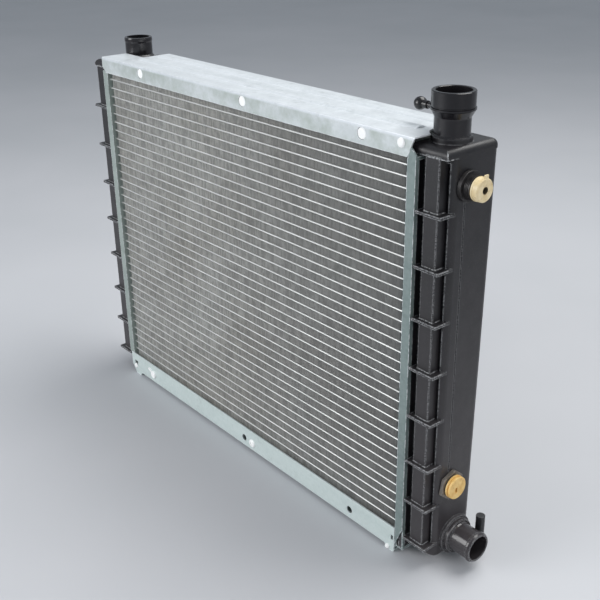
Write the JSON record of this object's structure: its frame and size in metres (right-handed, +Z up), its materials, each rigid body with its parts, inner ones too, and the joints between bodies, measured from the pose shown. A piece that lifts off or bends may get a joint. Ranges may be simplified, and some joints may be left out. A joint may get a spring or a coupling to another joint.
{
  "type": "car radiator",
  "caption": "Crossflow car radiator: tube-and-fin core between ribbed plastic tanks, with filler neck, hose spigots, oil cooler ports and a drain tap.",
  "frame": {"origin": "middle of the whole object's base, level with the undersides of the two feet", "axes": "+X from the inlet tank to the outlet tank, +Y from the front face to the back, +Z up"},
  "size_m": [0.6524, 0.0784, 0.4926],
  "materials": {
    "tube_aluminium": "satin",
    "fin_aluminium": "satin",
    "header_aluminium": "satin",
    "seal_rubber": "matte",
    "tank_nylon": "satin",
    "galvanised_sheet": "satin",
    "white_nylon": "satin",
    "black_fitting": "satin",
    "plated_nut": "satin",
    "cooler_brass": "satin",
    "cream_plug": "satin",
    "yellow_plug": "satin",
    "cap_rubber": "satin",
    "tap_nylon": "satin"
  },
  "bodies": {
    "radiator": {"front_tube_row": "tube_aluminium", "rear_tube_row": "tube_aluminium", "fin_packs": "fin_aluminium", "upper_core_strip": "tube_aluminium", "lower_core_strip": "tube_aluminium", "outlet_header": "header_aluminium", "inlet_header": "header_aluminium", "outlet_tank_gasket": "seal_rubber", "inlet_tank_gasket": "seal_rubber", "outlet_tank": "tank_nylon", "inlet_tank": "tank_nylon", "top_channel": "galvanised_sheet", "bottom_channel": "galvanised_sheet", "top_flange_plugs": "white_nylon", "flange_rivets": "white_nylon", "flange_tab_clip": "white_nylon", "upper_cooler_fitting": "black_fitting", "lower_cooler_fitting": "black_fitting", "cooler_outer_tube": "cooler_brass", "cooler_inner_tube": "cooler_brass", "upper_port_nut": "black_fitting", "lower_port_nut": "plated_nut", "upper_port_seal": "seal_rubber", "lower_port_seal": "seal_rubber", "drain_tap_body": "tap_nylon", "drain_tap_seal": "seal_rubber"},
    "drain_lever": {"drain_tap_lever": "tap_nylon"},
    "upper_bung": {"upper_port_plug": "cream_plug"},
    "lower_bung": {"lower_port_plug": "yellow_plug"},
    "overflow_ball": {"overflow_cap": "cap_rubber"}
  },
  "joints": [
    {"name": "drain_turn", "type": "hinge", "parent": "radiator", "child": "drain_lever", "pos_m": [0.3077, 0.0322, 0.017], "axis": [1, 0, 0], "range_deg": [-90, 0]},
    {"name": "upper_bung_pull", "type": "slide", "parent": "radiator", "child": "upper_bung", "axis": [1, 0, 0], "range_m": [0, 0.03]},
    {"name": "lower_bung_pull", "type": "slide", "parent": "radiator", "child": "lower_bung", "axis": [1, 0, 0], "range_m": [0, 0.025]},
    {"name": "overflow_cap_pull", "type": "slide", "parent": "radiator", "child": "overflow_ball", "axis": [-1, 0, 0], "range_m": [0, 0.02]}
  ]
}
